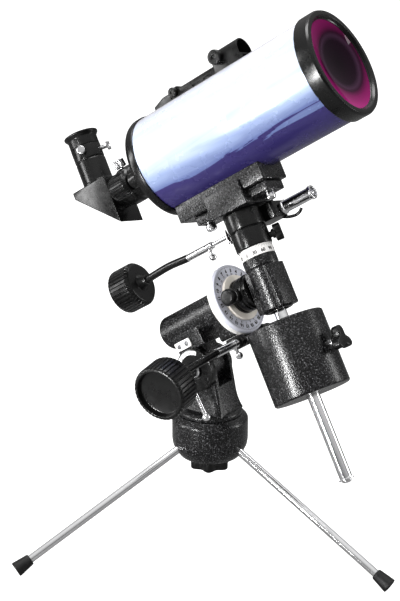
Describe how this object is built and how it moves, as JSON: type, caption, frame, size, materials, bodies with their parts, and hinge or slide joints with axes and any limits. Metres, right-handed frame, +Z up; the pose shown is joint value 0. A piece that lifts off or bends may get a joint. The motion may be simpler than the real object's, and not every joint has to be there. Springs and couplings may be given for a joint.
{
  "type": "telescope on tripod",
  "caption": "Short Maksutov telescope on a small equatorial mount with a counterweight and a three-legged table-top tripod; every axis turns and the focuser moves the mirror.",
  "frame": {"origin": "centre of the overall footprint, on the surface the three feet stand on", "axes": "+Z up; +X forwards, under the sky end of the tube; +Y to the left of someone looking along the tube"},
  "size_m": [0.4036, 0.3732, 0.5401],
  "materials": {
    "hammertone": "satin",
    "gloss_black": "gloss",
    "black_plastic": "satin",
    "rubber": "matte",
    "chrome": "polished",
    "steel": "satin",
    "bronze": "satin",
    "white_plastic": "satin",
    "dial_metal": "satin",
    "cream_plastic": "satin",
    "blue_metallic": "gloss",
    "coated_glass": "polished",
    "mirror": "polished"
  },
  "bodies": {
    "tripod": {"hub_casting": "hammertone", "leg_front": "chrome", "leg_left": "chrome", "leg_right": "chrome", "foot_front": "rubber", "foot_left": "rubber", "foot_right": "rubber"},
    "azimuth_knob": {"azimuth_knob": "black_plastic"},
    "azimuth_base": {"azimuth_fork": "hammertone", "latitude_scale": "gloss_black"},
    "latitude_lock": {"latitude_lock_bolt": "chrome"},
    "polar_housing": {"ra_housing": "hammertone", "polar_bush": "bronze", "latitude_index": "white_plastic", "worm_bracket": "gloss_black", "ra_flex_shaft": "rubber"},
    "ra_worm": {"ra_worm": "chrome", "ra_coupling": "chrome"},
    "ra_knob": {"ra_knob": "black_plastic"},
    "ra_circle": {"ra_setting_circle": "dial_metal"},
    "polar_axis": {"polar_shaft": "steel", "ra_worm_wheel": "white_plastic", "ra_clutch_disc": "cream_plastic", "ra_head": "gloss_black", "dec_housing": "hammertone"},
    "ra_lock": {"ra_lock_knob": "black_plastic"},
    "dec_circle": {"dec_setting_circle": "dial_metal"},
    "dec_axis": {"dec_shaft": "steel", "counterweight_bar": "chrome", "bar_stop": "chrome", "dec_clamp_collar": "gloss_black", "dec_head": "gloss_black", "tangent_block": "gloss_black", "spring_housing": "chrome", "saddle_plate": "hammertone", "saddle_bolt_front": "chrome", "saddle_bolt_rear": "chrome", "tube_cradle": "hammertone", "tube_shell": "blue_metallic", "front_bezel": "gloss_black", "corrector_lens": "coated_glass", "rear_cell": "gloss_black", "visual_back": "gloss_black", "finder_rail": "black_plastic", "finder_hood": "black_plastic"},
    "dec_lock": {"dec_lock_knob": "black_plastic"},
    "counterweight": {"counterweight": "hammertone"},
    "counterweight_knob": {"counterweight_knob": "black_plastic"},
    "dec_slow_motion": {"dec_slow_screw": "chrome", "dec_coupling": "chrome", "dec_flex_shaft": "rubber", "dec_knob": "black_plastic"},
    "mirror": {"primary_mirror": "mirror"},
    "focus_knob": {"focus_knob": "black_plastic"},
    "visual_back_screw": {"visual_back_screw": "chrome"},
    "diagonal": {"diagonal_body": "gloss_black", "diagonal_mirror": "mirror"},
    "eyepiece": {"eyepiece": "black_plastic"},
    "eyepiece_screw": {"eyepiece_screw": "chrome"},
    "finder_knob": {"finder_knob": "black_plastic"}
  },
  "joints": [
    {"name": "azimuth_turn", "type": "hinge", "parent": "tripod", "child": "azimuth_base", "pos_m": [-0.01175, 0, 0.1372], "axis": [0, 0, 1], "continuous": true},
    {"name": "azimuth_knob_turn", "type": "hinge", "parent": "tripod", "child": "azimuth_knob", "pos_m": [-0.01175, 0, 0.0839], "axis": [0, 0, -1], "range_deg": [0, 360]},
    {"name": "latitude_tilt", "type": "hinge", "parent": "azimuth_base", "child": "polar_housing", "pos_m": [-0.01414, 0, 0.1876], "axis": [0, -1, 0], "range_deg": [-13, 27]},
    {"name": "latitude_lock_turn", "type": "hinge", "parent": "azimuth_base", "child": "latitude_lock", "pos_m": [-0.01414, 0, 0.1876], "axis": [0, -1, 0], "range_deg": [-30, 90]},
    {"name": "ra_worm_turn", "type": "hinge", "parent": "polar_housing", "child": "ra_worm", "pos_m": [0.03707, 0, 0.22756], "axis": [0, -1, 0], "continuous": true},
    {"name": "ra_knob_turn", "type": "hinge", "parent": "polar_housing", "child": "ra_knob", "pos_m": [0.0402, -0.1313, 0.22275], "axis": [0.0807, -0.989, -0.1238], "continuous": true},
    {"name": "ra_circle_turn", "type": "hinge", "parent": "polar_housing", "child": "ra_circle", "pos_m": [0.02059, 0, 0.26218], "axis": [0.8377, 0, 0.5461], "continuous": true},
    {"name": "ra_turn", "type": "hinge", "parent": "polar_housing", "child": "polar_axis", "pos_m": [-0.01175, 0, 0.2411], "axis": [0.8377, 0, 0.5461], "range_deg": [-36, 38]},
    {"name": "ra_lock_turn", "type": "hinge", "parent": "polar_axis", "child": "ra_lock", "pos_m": [0.02908, -0.02869, 0.27277], "axis": [-0.0798, -0.9893, 0.1224], "range_deg": [0, 360]},
    {"name": "dec_circle_turn", "type": "hinge", "parent": "polar_axis", "child": "dec_circle", "pos_m": [0.03948, 0.00438, 0.30992], "axis": [-0.5402, 0.1461, 0.8287], "continuous": true},
    {"name": "dec_turn", "type": "hinge", "parent": "polar_axis", "child": "dec_axis", "pos_m": [0.05569, 0, 0.28506], "axis": [-0.5402, 0.1461, 0.8287], "range_deg": [-135, 45]},
    {"name": "dec_lock_turn", "type": "hinge", "parent": "dec_axis", "child": "dec_lock", "pos_m": [0.05277, 0.01931, 0.33043], "axis": [0.7604, 0.5065, 0.4064], "range_deg": [0, 360]},
    {"name": "counterweight_slide", "type": "slide", "parent": "dec_axis", "child": "counterweight", "axis": [-0.5402, 0.1461, 0.8287], "range_m": [-0.078, 0.008]},
    {"name": "counterweight_knob_turn", "type": "hinge", "parent": "counterweight", "child": "counterweight_knob", "pos_m": [0.13972, -0.00634, 0.24726], "axis": [0.8415, 0.1, 0.5309], "range_deg": [0, 360]},
    {"name": "dec_slow_turn", "type": "hinge", "parent": "dec_axis", "child": "dec_slow_motion", "pos_m": [-0.02952, 0.03091, 0.30129], "axis": [-0.8415, -0.1, -0.5309], "continuous": true},
    {"name": "mirror_slide", "type": "slide", "parent": "dec_axis", "child": "mirror", "axis": [0.8415, 0.1, 0.5309], "range_m": [-0.003, 0.003]},
    {"name": "focus_turn", "type": "hinge", "parent": "dec_axis", "child": "focus_knob", "pos_m": [-0.09096, -0.01742, 0.36774], "axis": [-0.8415, -0.1, -0.5309], "range_deg": [-1440, 1440]},
    {"name": "visual_back_screw_turn", "type": "hinge", "parent": "dec_axis", "child": "visual_back_screw", "pos_m": [-0.12836, 0.00765, 0.3738], "axis": [-0.5138, -0.1559, 0.8436], "range_deg": [0, 360]},
    {"name": "diagonal_turn", "type": "hinge", "parent": "dec_axis", "child": "diagonal", "pos_m": [-0.14717, 0.00769, 0.33391], "axis": [-0.8415, -0.1, -0.5309], "range_deg": [-100, 100]},
    {"name": "eyepiece_slide", "type": "slide", "parent": "diagonal", "child": "eyepiece", "axis": [-0.5402, 0.1461, 0.8287], "range_m": [0, 0.03]},
    {"name": "eyepiece_screw_turn", "type": "hinge", "parent": "diagonal", "child": "eyepiece_screw", "pos_m": [-0.1694, -0.00207, 0.38509], "axis": [0.3201, -0.8751, 0.3629], "range_deg": [0, 360]},
    {"name": "finder_knob_turn", "type": "hinge", "parent": "dec_axis", "child": "finder_knob", "pos_m": [-0.02124, 0.02014, 0.48983], "axis": [0.0053, -0.9842, 0.1769], "continuous": true}
  ],
  "couplings": [
    {"joint": "ra_worm_turn", "follows": "ra_knob_turn", "ratio": 1},
    {"joint": "focus_turn", "follows": "mirror_slide", "rad_per_m": 8377.6}
  ]
}
